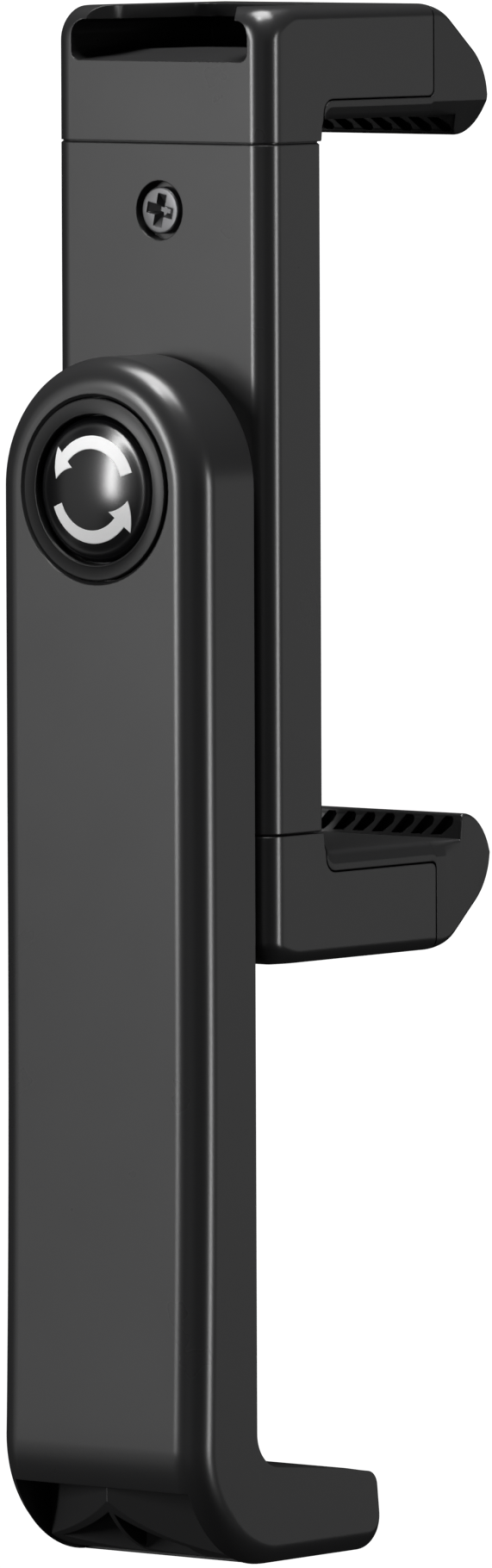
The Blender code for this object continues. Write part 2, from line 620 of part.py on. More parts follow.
def make_upper_jaw(plastic, rubber, steel, clamp):
    jaw = make_object("upper_jaw", loft(jaw_sections(UPPER)), plastic, clamp)
    join(jaw, "tongue", block((-4.5, -1.7, SLIDER_TOP + 1.0), (4.5, 1.8, UPPER["seam"] + 1)))
    half = CLAMP_WIDTH / 2 - CLAMP_SIDE - SEAM
    join(jaw, "plug", block((-half, -1.75, SPRING_PINS[1] + 2.0), (half, 1.85, UPPER["seam"] + 1.2)))
    cut(jaw, "screw_pilot", cylinder((0, 0, JAW_SCREW_Z), 1.05, "Y", -3.0, 1.2, 12))
    ramp = [(-5.0, SHOE_SILL), (CLAMP_BACK, SHOE_SILL), (SHOE_RAMP_END, SHOE_FLOOR)]
    ramp += [(SHOE_END, SHOE_FLOOR), (SHOE_END, SHOE_ROOF), (-5.0, SHOE_ROOF)]
    cut(jaw, "shoe", prism(ramp, "X", -SHOE_HALF, SHOE_HALF))
    top = SHOE_ROOF - 0.5
    mouth = [(SHOE_MOUTH, -5.0), (SHOE_MOUTH, CLAMP_BACK), (SHOE_MOUTH - 0.9, -2.4)]
    mouth += [(SHOE_OPENING + 0.2, -1.3), (SHOE_OPENING, 0.0)]
    mouth += arc((SHOE_OPENING - 1.5, SHOE_OPENING_END - 1.5), 1.5, 0, 90, 3)
    mouth += [(-x, y) for x, y in reversed(mouth)]
    cut(jaw, "shoe_opening", prism(mouth, "Z", top, UPPER["outer"] + 1))
    make_pad("upper_jaw_pad", UPPER, rubber, clamp)
    profile = [(0, -3.2), (1.3, -3.2), (1.85, -2.95), (1.85, -2.5), (0.95, -2.5), (0.95, 0.8), (0, 1.1)]
    screw = make_object("jaw_screw", turned(profile, (0, 0, JAW_SCREW_Z), "Y", 24), steel, clamp)
    for number, (wide, tall) in enumerate(((1.15, 0.24), (0.24, 1.15))):
        slot = block((-wide, -4.0, JAW_SCREW_Z - tall), (wide, -2.75, JAW_SCREW_Z + tall))
        cut(screw, f"cross_{number}", slot)


def make_lower_jaw(plastic, rubber, slider):
    """The sliding jaw: its hard part, and the frame that runs in the sleeve on two legs."""
    jaw = make_object("lower_jaw", loft(jaw_sections(LOWER)), plastic, slider)
    half = CLAMP_WIDTH / 2 - CLAMP_SIDE - 0.3
    join(jaw, "crossbar", block((-half, -1.7, LOWER["seam"] - 1), (half, 1.8, 67.0)))
    for number, side in enumerate((-1, 1)):
        near, far = sorted((side * 7.6, side * half))
        join(jaw, f"leg_{number}", block((near, -1.7, 66.0), (far, 1.8, SLIDER_TOP)))
        centre = side * SPRING_X
        cut(jaw, f"notch_{number}", block((centre - 1.2, -3.0, 62.5), (centre + 1.2, 3.0, 68.0)))
        place = (centre, 0, SPRING_PINS[0])
        cut(jaw, f"pin_hole_{number}", cylinder(place, PIN_RADIUS + FIT, "X", -2.1, 2.1, 12))
    make_pad("lower_jaw_pad", LOWER, rubber, slider)


# ---------------------------------------------------------------- springs


def spring_path(centre):
    """An extension spring with a loop round each pin; the loops stand at right angles."""
    loop = PIN_RADIUS + SPRING_WIRE + 0.15
    low, high = SPRING_BODY
    path = [(centre, a, z) for a, z in arc((0, SPRING_PINS[0]), loop, 140, 400, 8)]
    path.append((centre, 0.75, SPRING_PINS[0] + 1.9))
    turns = (high - low) / SPRING_PITCH
    count = round(turns * 8)
    for step in range(count + 1):
        turn = 2 * math.pi * turns * step / count + math.radians(90)
        height = low + (high - low) * step / count
        path.append((centre + SPRING_COIL * math.cos(turn), SPRING_COIL * math.sin(turn), height))
    path.append((centre, 0.2, high + 1.0))
    path.append((centre, 0.0, high + 1.9))
    path += [(centre + a, 0.0, z) for a, z in arc((0, SPRING_PINS[1]), loop, 235, 0, 7)]
    return path


def make_springs(spring_steel, steel, clamp, slider):
    for side, word in ((-1, "left"), (1, "right")):
        centre = side * SPRING_X
        wire = swept_wire(spring_path(centre), SPRING_WIRE, 4)
        make_object(f"extension_spring_{word}", wire, spring_steel, clamp)
        upper = cylinder((centre, 0, SPRING_PINS[1]), PIN_RADIUS, "Y", -2.5, 1.8, 12)
        make_object(f"spring_pin_upper_{word}", upper, steel, clamp)
        lower = cylinder((centre, 0, SPRING_PINS[0]), PIN_RADIUS, "X", -1.95, 1.95, 12)
        make_object(f"spring_pin_lower_{word}", lower, steel, slider)


# ---------------------------------------------------------------- assembly


def build():
    clear_scene()
    plastic = make_material("matte_black_plastic", (0.022, 0.022, 0.023), 0.5)
    gloss = make_material("gloss_black_plastic", (0.008, 0.008, 0.009), 0.08)
    ring = make_material("satin_black_plastic", (0.015, 0.015, 0.016), 0.35)
    rubber = make_material("black_rubber", (0.018, 0.018, 0.018), 0.75)
    steel = make_material("black_steel", (0.12, 0.12, 0.125), 0.35, 1.0)
    spring_steel = make_material("spring_steel", (0.5, 0.5, 0.52), 0.3, 1.0)
    brass = make_material("brass", (0.6, 0.45, 0.2), 0.3, 1.0)
    friction = make_material("acetal_white", (0.7, 0.7, 0.68), 0.5)

    clamp = make_empty("clamp_pivot_axis", (0, -4.0, PIVOT_Z))
    slider = make_empty("lower_jaw_axis", (0, 0, LOWER_SEAM), clamp)

    make_arm_shell(plastic)
    make_arm_cover(plastic)
    for word, height in zip(("lower", "upper"), COVER_SCREWS):
        countersunk_screw(f"arm_cover_screw_{word}", height, ARM_FRONT - 0.05, 4.4, steel)
    make_foot_core(plastic, brass)
    make_cap(ring, gloss)
    make_pivot(steel, spring_steel, friction, clamp)
    make_clamp_body(plastic, clamp)
    make_front_cover(plastic, rubber, steel, clamp)
    make_upper_jaw(plastic, rubber, steel, clamp)
    make_lower_jaw(plastic, rubber, slider)
    make_springs(spring_steel, steel, clamp, slider)


build()
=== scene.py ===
"""Looks of the rotating phone clamp head.

The outer pieces are built here again, finer than in the CAD, and stand for their CAD nodes.  The
pieces inside keep their CAD shape and get a material.  Lengths are in millimetres, drawn about a
plane near the middle of the sleeve as in the CAD source, and moved to the row frame by DEPTH_CENTRE.
"""

import json
import math

import bmesh
import bpy
from mathutils import Matrix, Vector

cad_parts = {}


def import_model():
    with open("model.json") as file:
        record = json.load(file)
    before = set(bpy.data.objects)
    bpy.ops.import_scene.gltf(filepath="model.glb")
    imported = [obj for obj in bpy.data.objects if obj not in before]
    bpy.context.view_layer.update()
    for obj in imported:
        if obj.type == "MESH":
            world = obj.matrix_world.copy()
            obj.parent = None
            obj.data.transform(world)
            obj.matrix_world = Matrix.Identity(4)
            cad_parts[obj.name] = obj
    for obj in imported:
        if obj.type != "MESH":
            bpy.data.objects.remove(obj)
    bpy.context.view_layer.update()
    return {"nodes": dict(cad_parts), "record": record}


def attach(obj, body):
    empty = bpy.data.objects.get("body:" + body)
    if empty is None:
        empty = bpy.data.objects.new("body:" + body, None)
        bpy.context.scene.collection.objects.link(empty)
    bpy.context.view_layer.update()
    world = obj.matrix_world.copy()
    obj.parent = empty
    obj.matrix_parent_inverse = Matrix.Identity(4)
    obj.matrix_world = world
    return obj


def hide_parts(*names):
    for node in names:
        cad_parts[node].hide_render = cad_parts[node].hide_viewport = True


MM = 0.001
DEPTH_CENTRE = Vector((0, 6.455, 0))

# Arm
ARM_HALF = 10.88
ARM_BACK = -12.0
ARM_FRONT = -4.6
ARM_EDGE = 2.56
ARM_WALL = 1.6
ARM_FLARE = 0.5
FLARE_TOP = 50.0
PIVOT_Z = 89.0
BEND_RADIUS = 10.2
BEND_CENTRE = (-2.3, 10.2)
FILLET_RADIUS = 3.0
FILLET_CENTRE = (-1.6, 11.1)
FOOT_EDGE = 1.7
FOOT_SLOPE = math.tan(math.radians(5.8))
FOOT_TIP_RADII = (1.4, 1.5)
FOOT_TIP_UPPER = (9.75, 5.35)
FOOT_TIP_LOWER = (10.1, 1.5)
WINDOW_TOP = 6.6
WINDOW_FRONT = -2.6
THREAD_Y = 4.5
INSERT_RADIUS = 4.3
COVER_OPENING = (14.0, 77.0)
COVER_SCREWS = (24.0, 68.0)
COVER_THICKNESS = 1.5
COVER_GAP = 0.2
SCREW_PILOT = 0.85

# Cap
CAP_RECESS = 7.65
CAP_FLOOR = -10.6
CAP_SEAT = CAP_FLOOR - 0.3
RING_RADII = (6.2, 7.53)
RING_FACE = -12.06
RING_DISH = 0.08
DOME_RADIUS = 6.05
DOME_EDGE = 0.85
DOME_SHOULDER = -11.97
DOME_APEX = -12.7
STACK_BORE = 5.0
STACK_FLOOR = -6.6
SHANK_BORE = 2.25
MARK_RADIUS = 3.9
MARK_SWEEP = 118

# Clamp
CLAMP_HALF = 11.5
CLAMP_BACK = -3.47
CLAMP_FRONT = 3.63
CLAMP_EDGE = 1.87
CLAMP_WALL = 1.5
CLAMP_SIDE = 1.8
CAVITY_HALF = CLAMP_HALF - CLAMP_SIDE
UPPER_SEAM = 117.3
LOWER_SEAM = 60.4
JAW_SCREW_Z = 111.7
JAW_SCREW_RECESS = 2.45
FRONT_SCREWS = (76.0, 98.5)
PIVOT_BOSS = 4.9
SCREW_BOSS = 2.2
NUT_FLATS = 7.3
TONGUE_HALF = 4.5
TONGUE_FOOT = 105.0
PLUG_FOOT = 114.0
STEP_SCALE = (0.985, 0.98)
SLIDER_DEPTH = (-1.7, 1.8)
SLIDER_TOP = 104.0
SLIDER_GAP = 0.3
RAIL_INNER = 7.6
CROSSBAR_TOP = 67.0
SPRING_X = 6.25
UPPER_PIN_Z = 112.0
LOWER_PIN_Z = 64.0
PIN_RADIUS = 0.6
BACKREST_RECESS = (LOWER_SEAM + 4, UPPER_SEAM - 4)
GROOVE_COUNT = 11
GROOVE_PITCH = 4.0

# Jaws: "side" is +1 where a jaw's outside faces up, -1 where it faces down
JAW_EDGE = 1.15
JAW_NARROWING = (-3.2, 0.6)
JAW_HARD_END = 18.4
UPPER = {"seam": 117.4, "outer": 128.5, "under": 120.85, "pad": 119.15, "hook": 117.47, "tip": 120.9,
         "tip_y": 25.6, "corner": 19.25, "slope": 39.6, "drafts": (18.0, 18.0),
         "crest": 2.3, "back_corner": 2.9, "side": 1}
LOWER = {"seam": 60.3, "outer": 49.65, "under": 56.95, "pad": 58.72, "hook": 60.83, "tip": 57.3,
         "tip_y": 25.65, "corner": 19.7, "slope": 41.3, "drafts": (24.0, 3.0),
         "crest": 2.0, "back_corner": 2.0, "side": -1}
HOOK_WALL = 21.8
HOOK_LEAN = 0.35
NOSE_RADIUS = 5.0
NOSE_CORNER = 0.5
NOSE_NARROWING = (17.5, 21.0)
ROOT_RADIUS = 1.2
ROOT_CLIMB = 1.0
BOOT_GAP = 0.14
BOOT_STRIP = 0.5
BOOT_ROUNDING = 0.9
HOOK_ROUNDING = 0.3
CREST_RADIUS = 0.35
SLOT_COUNT = 10
SLOT_PITCH = 2.09
SLOT_WIDTH = 1.1
SLOT_LEAN = 1.4

# Accessory shoe
SHOE_HALF = 9.4
SHOE_FLOOR = 124.85
SHOE_SILL = 124.0
SHOE_ROOF = 127.4
SHOE_END = 14.9
SHOE_RAMP_END = 3.4
SHOE_CORNERS = (0.8, 1.3)
SHOE_OPENING = 6.3
SHOE_OPENING_END = 10.0
SHOE_MOUTH = 8.0

# Surfaces
GRAIN_SIZE = 0.16
GRAIN_DEPTH = 0.01
TONE_CHANGE = 0.04
LIT_EDGE = 0.12

# Camera
CAMERA_AZIMUTH = math.radians(39.314)
CAMERA_ELEVATION = math.radians(3.958)
CAMERA_ROLL = math.radians(-0.22)
CAMERA_DISTANCE = 1294.5
CAMERA_TARGET = Vector((6.17, 0.0, 64.34))
CAMERA_LENS = 359.8

# Light: levels of grey, and the point that the lamps face, in metres
LIGHT_TARGET = Vector((0, 0, 0.068))
WORLD_GLOW = 0.016
BACKDROP = 1.2
FLOOR_GLOW = 1.1
FLOOR_HALF = 3.0
FLOOR_DROP = 0.0001


# ---------------------------------------------------------------- meshes


def to_row(point):
    return (Vector(point) - DEPTH_CENTRE) * MM


def make_mesh(name, shape, sharp=35):
    """One closed mesh from (points, faces) in millimetres, its faces turned outwards."""
    points, faces = shape
    build = bmesh.new()
    corners = [build.verts.new(to_row(point)) for point in points]
    for face in faces:
        build.faces.new([corners[index] for index in face])
    bmesh.ops.remove_doubles(build, verts=build.verts, dist=2e-7)
    bmesh.ops.recalc_face_normals(build, faces=build.faces)
    mesh = bpy.data.meshes.new(name)
    build.to_mesh(mesh)
    build.free()
    mesh.shade_smooth()
    mesh.set_sharp_from_angle(angle=math.radians(sharp))
    made = bpy.data.objects.new(name, mesh)
    bpy.context.scene.collection.objects.link(made)
    return made


def change(target, shapes, operation):
    """Applies one exact Boolean with each shape in turn, and removes the shapes again."""
    for shape in shapes:
        tool = make_mesh("tool", shape)
        step = target.modifiers.new("step", "BOOLEAN")
        step.operation = operation
        step.solver = "EXACT"
        step.object = tool
        bpy.context.view_layer.update()
        graph = bpy.context.evaluated_depsgraph_get()
        result = bpy.data.meshes.new_from_object(target.evaluated_get(graph), depsgraph=graph)
        target.modifiers.clear()
        target.data = result
        bpy.data.objects.remove(tool)


def finish_piece(piece, body, material, nodes=(), sharp=35, bevel=0.0):
    """Shades a piece, gives it its material and puts it on its body in place of its CAD nodes."""
    piece.data.shade_smooth()
    piece.data.set_sharp_from_angle(angle=math.radians(sharp))
    if bevel:
        edge = piece.modifiers.new("edge", "BEVEL")
        edge.width = bevel * MM
        edge.segments = 2
        edge.limit_method = "ANGLE"
        edge.angle_limit = math.radians(50)
        edge.harden_normals = True
    weighted = piece.modifiers.new("normals", "WEIGHTED_NORMAL")
    weighted.keep_sharp = True
    piece.data.materials.clear()
    piece.data.materials.append(material)
    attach(piece, body)
    if nodes:
        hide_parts(*nodes)


# ---------------------------------------------------------------- shapes


def arc(centre, radius, start, end, steps):
    """Points on an arc in a plane, with angles in degrees."""
    return [
        (
            centre[0] + radius * math.cos(math.radians(start + (end - start) * step / steps)),
            centre[1] + radius * math.sin(math.radians(start + (end - start) * step / steps)),
        )
        for step in range(steps + 1)
    ]


def loft(rings):
    """A skin over closed rings of equally many points, with both ends filled."""
    count = len(rings[0])
    points = [point for ring in rings for point in ring]
    faces = [tuple(range(count))]
    faces.append(tuple(range((len(rings) - 1) * count, len(rings) * count)))
    for level in range(len(rings) - 1):
        for side in range(count):
            after = (side + 1) % count
            low, high = level * count, (level + 1) * count
            faces.append((low + side, low + after, high + after, high + side))
    return points, faces


def prism(outline, axis, low, high):
    """A flat outline pulled along X, Y or Z.  Its two numbers are the other two axes, in order."""
    def place(point, depth):
        first, second = point
        return {"X": (depth, first, second), "Y": (first, depth, second), "Z": (first, second, depth)}[axis]

    return loft([[place(point, depth) for point in outline] for depth in (low, high)])


def block(low, high):
    (x0, y0, z0), (x1, y1, z1) = low, high
    return prism([(x0, y0), (x1, y0), (x1, y1), (x0, y1)], "Z", z0, z1)


def rounded_rectangle(low, high, radius, steps=6):
    (a0, b0), (a1, b1) = low, high
    corners = [(a1, b1, 0), (a0, b1, 90), (a0, b0, 180), (a1, b0, 270)]
    outline = []
    for a, b, start in corners:
        centre_a = a - math.copysign(radius, a - (a0 + a1) / 2)
        centre_b = b - math.copysign(radius, b - (b0 + b1) / 2)
        outline += arc((centre_a, centre_b), radius, start, start + 90, steps)
    return outline


def turned(profile, centre, axis="Y", steps=64):
    """A profile of (radius, place along the axis), turned.  One that never meets the axis makes a loop."""
    turns = [2 * math.pi * step / steps for step in range(steps)]
    points, index = [], []
    for radius, along in profile:
        row = []
        for turn in turns[: 1 if radius == 0 else steps]:
            a, b = radius * math.cos(turn), radius * math.sin(turn)
            offset = {"X": (along, a, b), "Y": (a, along, b), "Z": (a, b, along)}[axis]
            row.append(len(points))
            points.append(tuple(c + o for c, o in zip(centre, offset)))
        index.append(row)
    pairs = list(zip(index, index[1:]))
    if all(radius > 0 for radius, _ in profile):
        pairs.append((index[-1], index[0]))
    faces = []
    for first, second in pairs:
        for step in range(steps):
            after = (step + 1) % steps
            corners = [first[step % len(first)], first[after % len(first)]]
            corners += [second[after % len(second)], second[step % len(second)]]
            faces.append(tuple(dict.fromkeys(corners)))
    return points, faces


def cylinder(centre, radius, axis, low, high, steps=48):
    return turned([(0, low), (radius, low), (radius, high), (0, high)], centre, axis, steps)


def section(outer, inner, half, radius, steps):
    """A cross-section between an outer and an inner (y, z) point, with its two outer corners rounded."""
    outer, inner = Vector(outer), Vector(inner)
    inward = (inner - outer).normalized()
    ring = [(-half, *inner)]
    for step in range(steps + 1):
        turn = math.radians(90 * step / steps)
        place = outer + inward * radius * (1 - math.sin(turn))
        ring.append((-half + radius * (1 - math.cos(turn)), *place))
    ring += [(-x, y, z) for x, y, z in reversed(ring)]
    return ring


def curve_points(start, handle, other_handle, end, count):
    """Points on a cubic curve in the YZ plane."""
    points = []
    for step in range(count):
        t = step / (count - 1)
        weights = ((1 - t) ** 3, 3 * t * (1 - t) ** 2, 3 * t * t * (1 - t), t ** 3)
        corners = (start, handle, other_handle, end)
        points.append(tuple(sum(w * c[axis] for w, c in zip(weights, corners)) for axis in (0, 1)))
    return points


# ---------------------------------------------------------------- arm


def back_of_arm(height):
    lean = max(0.0, FLARE_TOP - height) / (FLARE_TOP - BEND_CENTRE[1])
    return ARM_BACK - ARM_FLARE * lean * lean


def top_of_foot(y):
    root = FILLET_CENTRE[1] - FILLET_RADIUS
    return root - FOOT_SLOPE * (y - FILLET_CENTRE[0])


def arm_stations(bend_steps=28):
    heights = (PIVOT_Z, FLARE_TOP, 44.0, 38.0, 32.0, 26.0, 20.0, 15.0, 12.0)
    stations = [((back_of_arm(z), z), (ARM_FRONT, z), ARM_EDGE) for z in heights]
    inner_turn = 90 - math.degrees(math.atan(FOOT_SLOPE))
    outer = arc(BEND_CENTRE, BEND_RADIUS, 180, 270, bend_steps)
    inner = arc(FILLET_CENTRE, FILLET_RADIUS, 180, 180 + inner_turn, bend_steps)
    for step, (behind, ahead) in enumerate(zip(outer, inner)):
        share = max(0.0, 2 * step / bend_steps - 1)
        stations.append((behind, ahead, ARM_EDGE + (FOOT_EDGE - ARM_EDGE) * share))
    stations += [((y, 0.0), (y, top_of_foot(y)), FOOT_EDGE) for y in (1.0, 4.0, 7.0)]
    lower = arc(FOOT_TIP_LOWER, FOOT_TIP_RADII[1], 270, 360, 10)
    upper = arc(FOOT_TIP_UPPER, FOOT_TIP_RADII[0], 90, 0, 10)
    stations += [(below, above, FOOT_EDGE) for below, above in zip(lower, upper)]
    return stations


def arm_outer(edge_steps=14, top_steps=72):
    rings = [section(outer, inner, ARM_HALF, radius, edge_steps) for outer, inner, radius in arm_stations()]
    points, faces = loft(rings)
    faces.pop(0)
    count = len(rings[0])
    half_ring = rings[0][: count // 2]
    bands = [list(range(count // 2))]
    for step in range(1, top_steps):
        turn = math.pi * step / top_steps
        band = []
        for x, y, _ in half_ring:
            band.append(len(points))
            points.append((x * math.cos(turn), y, PIVOT_Z - x * math.sin(turn)))
        bands.append(band)
    bands.append([count - 1 - index for index in range(count // 2)])
    for near, far in zip(bands, bands[1:]):
        for index in range(count // 2 - 1):
            faces.append((near[index], near[index + 1], far[index + 1], far[index]))
    faces.append(tuple(band[0] for band in bands))
    faces.append(tuple(band[-1] for band in bands))
    return points, faces


def arm_cavity():
    low, high = COVER_OPENING
    outline = [(ARM_FRONT + 1, high), (ARM_BACK + ARM_WALL, high), (ARM_BACK + ARM_WALL, FLARE_TOP)]
    outline += arc(BEND_CENTRE, BEND_RADIUS - ARM_WALL, 180, 270, 16)
    outline += [(FOOT_TIP_LOWER[0], ARM_WALL), (FOOT_TIP_UPPER[0], top_of_foot(FOOT_TIP_UPPER[0]) - ARM_WALL)]
    outline += arc(FILLET_CENTRE, FILLET_RADIUS + ARM_WALL, 264, 180, 10)
    outline += [(ARM_FRONT - ARM_WALL, low), (ARM_FRONT + 1, low)]
    half = ARM_HALF - ARM_WALL
    return prism(outline, "X", -half, half)


def arm_window():
    outline = [(-14.0, WINDOW_TOP), (-9.5, WINDOW_TOP), (WINDOW_FRONT, 2.2), (WINDOW_FRONT, -1.0)]
    outline.append((-14.0, -1.0))
    half = ARM_HALF - ARM_WALL
    return prism(outline, "X", -half, half)


def pivot_bore():
    chamfer = 0.25
    profile = [(0, -14.0), (CAP_RECESS + chamfer, -14.0), (CAP_RECESS + chamfer, ARM_BACK)]
    profile += [(CAP_RECESS, ARM_BACK + chamfer), (CAP_RECESS, CAP_FLOOR)]
    profile += [(STACK_BORE, CAP_FLOOR), (STACK_BORE, STACK_FLOOR)]
    profile += [(SHANK_BORE, STACK_FLOOR), (SHANK_BORE, ARM_FRONT + 1), (0, ARM_FRONT + 1)]
    return turned(profile, (0, 0, PIVOT_Z))


def make_arm(plastic):
    shell = make_mesh("arm_shell_skin", arm_outer())
    mouth = cylinder((0, THREAD_Y, 0), INSERT_RADIUS + 0.5, "Z", -1.0, ARM_WALL + 0.5)
    change(shell, [arm_cavity(), arm_window(), pivot_bore(), mouth], "DIFFERENCE")
    for height in COVER_SCREWS:
        boss = (0, 0, height)
        change(shell, [cylinder(boss, 2.4, "Y", back_of_arm(height) + 1.0, -6.3, 24)], "UNION")
        change(shell, [cylinder(boss, SCREW_PILOT, "Y", -9.8, -5.0, 16)], "DIFFERENCE")
    finish_piece(shell, "arm", plastic, ["arm_shell"])

    low, high = COVER_OPENING
    half = ARM_HALF - ARM_WALL - COVER_GAP
    outline = rounded_rectangle((-half, low + COVER_GAP), (half, high - COVER_GAP), 0.6)
    cover = make_mesh("arm_inner_cover_skin", prism(outline, "Y", ARM_FRONT - COVER_THICKNESS, ARM_FRONT))
    for height in COVER_SCREWS:
        sink = [(0, -6.6), (1.1, -6.6), (1.1, -5.5), (2.1, -4.5), (2.1, -4.0), (0, -4.0)]
        change(cover, [turned(sink, (0, 0, height), "Y", 40)], "DIFFERENCE")
    finish_piece(cover, "arm", plastic, ["arm_inner_cover"], bevel=0.15)


def make_foot_core(plastic):
    """Two slanting walls that meet in a nose, a rib between them and the block round the insert."""
    profile = [(9.5, 1.8), (9.5, 5.0), (-1.9, 6.1), (-3.5, 6.6), (-5.4, 8.0), (-10.1, 8.0), (-10.1, 6.5)]
    profile += arc(BEND_CENTRE, BEND_RADIUS - 0.28, 202, 266, 24)
    profile += [(WINDOW_FRONT - 0.15, 1.8)]
    plan = [(0.05, -10.95), (9.0, -5.9), (9.0, -4.9), (7.0, -3.8), (7.0, 9.5)]
    plan += [(-7.0, 9.5), (-7.0, -3.8), (-9.0, -4.9)]
    plan += arc((-8.7, -7.2), 0.3, 180, 240, 6) + [(-0.05, -10.95)]
    core = make_mesh("foot_core_skin", prism(plan, "Z", -2.0, 12.0))
    change(core, [prism(profile, "X", -12.0, 12.0)], "INTERSECT")
    right = [(0.15, -10.2), (5.6, -7.2), (5.6, -3.5), (0.15, -6.0)]
    left = [(-0.35, -10.3), (-0.35, -4.2), (-7.8, -7.3)]
    change(core, [prism(right, "Z", -1.0, 6.4), prism(left, "Z", -1.0, 6.4)], "DIFFERENCE")
    change(core, [cylinder((0, THREAD_Y, 0), INSERT_RADIUS + 0.1, "Z", -1.0, 9.0, 64)], "DIFFERENCE")
    finish_piece(core, "arm", plastic, ["foot_core"])


def dome_y(radius):
    """The dome's height: a shallow bulge inside a rounded shoulder."""
    shoulder = DOME_RADIUS - DOME_EDGE
    if radius <= shoulder:
        share = radius / shoulder
        return DOME_SHOULDER + (DOME_APEX - DOME_SHOULDER) * (1 - share * share)
    share = min(1.0, (radius - shoulder) / DOME_EDGE)
    return DOME_SHOULDER + DOME_EDGE * (1 - math.sqrt(1 - share * share))


def make_cap(satin, gloss, print_white):
    inner, outer = RING_RADII
    ring = [(inner, CAP_SEAT), (outer, CAP_SEAT)]
    ring += arc((outer - 0.12, RING_FACE + 0.12), 0.12, 0, -90, 5)
    ring += [(inner + 0.3, RING_FACE + RING_DISH)]
    ring += arc((inner + 0.12, RING_FACE + 0.14), 0.14, -80, -180, 6)
    piece = make_mesh("cap_ring_skin", turned(ring, (0, 0, PIVOT_Z), "Y", 96))
    finish_piece(piece, "arm", satin, ["cap_ring"])

    dome = [(0, CAP_SEAT), (DOME_RADIUS, CAP_SEAT)]
    for step in range(24):
        radius = DOME_RADIUS * math.cos(math.radians(90 * step / 24))
        dome.append((radius, dome_y(radius)))
    dome.append((0, DOME_APEX))
    piece = make_mesh("cap_dome_skin", turned(dome, (0, 0, PIVOT_Z), "Y", 96), sharp=60)
    finish_piece(piece, "arm", gloss, ["cap_dome"], sharp=60)
    for number, start in enumerate((20, 200)):
        piece = make_mesh(f"turn_mark_{number + 1}", turn_mark(start))
        finish_piece(piece, "arm", print_white)


def turn_mark(start, half_width=0.55, head=30, steps=24, head_steps=8):
    """A printed arrow that follows the dome: an arc that ends in a head, standing 0.015 mm proud of it."""
    edges = []
    for step in range(steps + 1):
        edges.append((start + MARK_SWEEP * step / steps, half_width))
    for step in range(head_steps + 1):
        share = step / head_steps
        edges.append((start + MARK_SWEEP + head * share, 2.3 * half_width * (1 - share) + 0.01))
    rings = []
    for angle, reach in edges:
        turn = math.radians(angle)
        across = (MARK_RADIUS - reach, MARK_RADIUS, MARK_RADIUS + reach)
        ring = []
        for radii, lift in ((across, -0.015), (across[::-1], 0.03)):
            for radius in radii:
                x, z = radius * math.cos(turn), PIVOT_Z + radius * math.sin(turn)
                ring.append((x, dome_y(radius) + lift, z))
        rings.append(ring)
    return loft(rings)


# ---------------------------------------------------------------- clamp


def clamp_outline():
    outline = arc((CLAMP_HALF - CLAMP_EDGE, CLAMP_BACK + CLAMP_EDGE), CLAMP_EDGE, 270, 360, 14)
    outline += arc((CLAMP_HALF - 0.45, CLAMP_FRONT - 0.45), 0.45, 0, 90, 5)
    return outline + [(-x, y) for x, y in reversed(outline)]


def scaled_outline(across, through):
    """The sleeve's outline, scaled about its middle in X and in Y."""
    middle = (CLAMP_BACK + CLAMP_FRONT) / 2
    return [(x * across, (y - middle) * through + middle) for x, y in clamp_outline()]


def make_clamp_body(plastic):
    low, high = LOWER_SEAM + 0.02, UPPER_SEAM - 0.02
    chamfer, half_depth = 0.12, (CLAMP_FRONT - CLAMP_BACK) / 2
    rings = []
    for z, inset in ((low, chamfer), (low + chamfer, 0.0), (high - chamfer, 0.0), (high, chamfer)):
        outline = scaled_outline(1 - inset / CLAMP_HALF, 1 - inset / half_depth)
        rings.append([(x, y, z) for x, y in outline])
    body = make_mesh("clamp_body_skin", loft(rings))
    floor = CLAMP_BACK + CLAMP_WALL
    cavity = block((-CAVITY_HALF, floor, low - 1), (CAVITY_HALF, CLAMP_FRONT + 1, high + 1))
    change(body, [cavity], "DIFFERENCE")
    change(body, [cylinder((0, 0, PIVOT_Z), PIVOT_BOSS, "Y", floor - 0.5, 1.8)], "UNION")
    nut_seat = prism(hexagon(NUT_FLATS), "Y", floor, 3.0)
    shank_hole = cylinder((0, 0, PIVOT_Z), 2.2, "Y", -5.0, 0.0)
    change(body, [nut_seat, shank_hole], "DIFFERENCE")
    for height in FRONT_SCREWS:
        change(body, [cylinder((0, 0, height), SCREW_BOSS, "Y", floor - 0.5, 1.9, 24)], "UNION")
        change(body, [cylinder((0, 0, height), SCREW_PILOT, "Y", -1.9, 3.0, 16)], "DIFFERENCE")
    reach, chamfer = JAW_SCREW_RECESS, 0.05
    recess = [(0, -4.5), (reach + chamfer, -4.5), (reach + chamfer, CLAMP_BACK)]
    recess += [(reach, CLAMP_BACK + chamfer), (reach, -2.4), (1.15, -2.4), (1.15, -1.0), (0, -1.0)]
    change(body, [turned(recess, (0, 0, JAW_SCREW_Z), "Y", 64)], "DIFFERENCE")
    for side in (-1, 1):
        pin = (side * SPRING_X, 0, UPPER_PIN_Z)
        change(body, [cylinder(pin, PIN_RADIUS, "Y", -2.7, 0.0, 16)], "DIFFERENCE")
    finish_piece(body, "clamp", plastic, ["clamp_body"])


def hexagon(flats):
    """The nut's outline round the pivot, by its width across the flats."""
    corner = flats / 2 / math.cos(math.radians(30))
    turns = [math.radians(60 * step) for step in range(6)]
    return [(corner * math.cos(turn), PIVOT_Z + corner * math.sin(turn)) for turn in turns]


